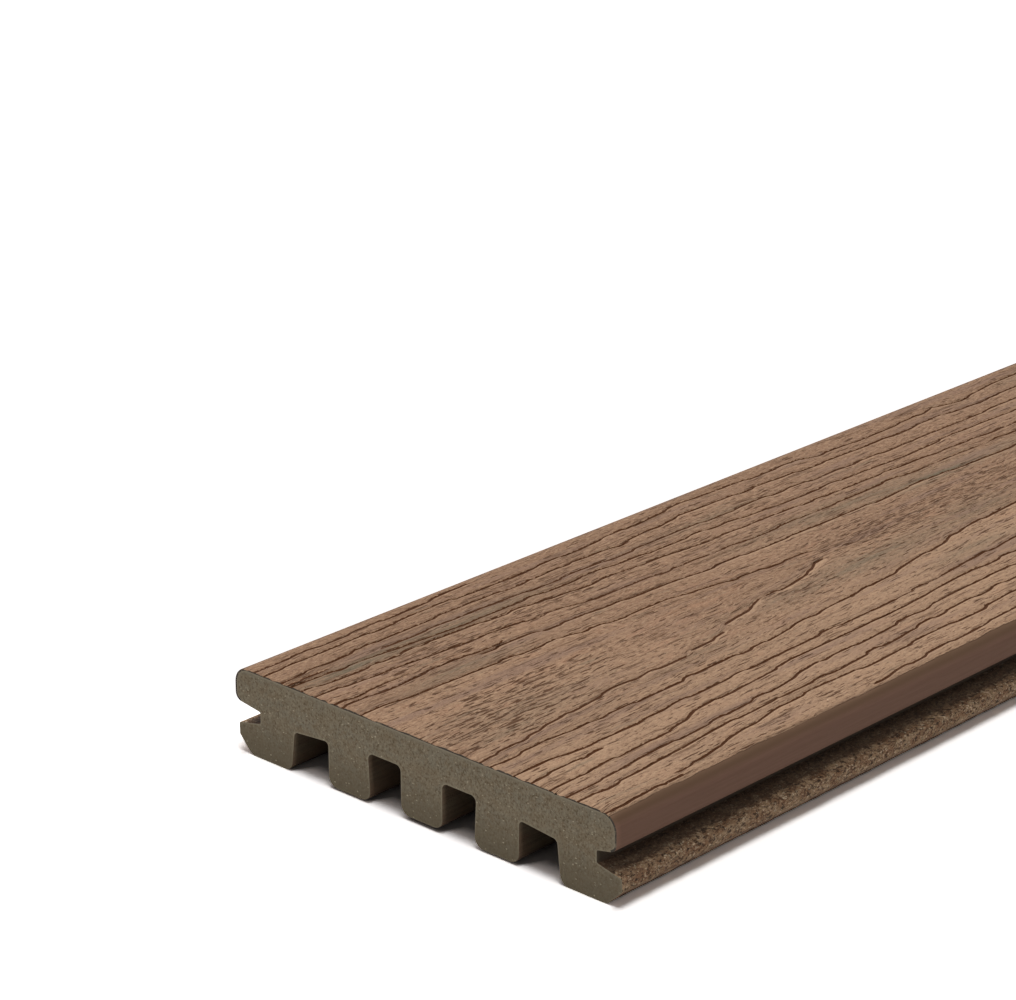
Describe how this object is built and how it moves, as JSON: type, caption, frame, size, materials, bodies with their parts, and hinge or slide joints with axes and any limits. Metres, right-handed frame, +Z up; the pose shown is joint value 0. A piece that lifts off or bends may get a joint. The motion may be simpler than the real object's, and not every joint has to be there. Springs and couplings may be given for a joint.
{
  "type": "decking board",
  "caption": "Long flat composite board with rounded top edges, a clip groove along each side, a hollowed ribbed underside and a thin brown wood-grain skin.",
  "frame": {"origin": "on the floor under the middle of the board's overall width and length", "axes": "+X across the board, +Y along it, +Z up out of the grained face"},
  "size_m": [0.1418, 2.4384, 0.0254],
  "materials": {
    "core": "dull sawn wood-plastic",
    "cap": "embossed wood grain, matt"
  },
  "bodies": {
    "root": {"core": "core", "cap": "cap"}
  },
  "joints": []
}
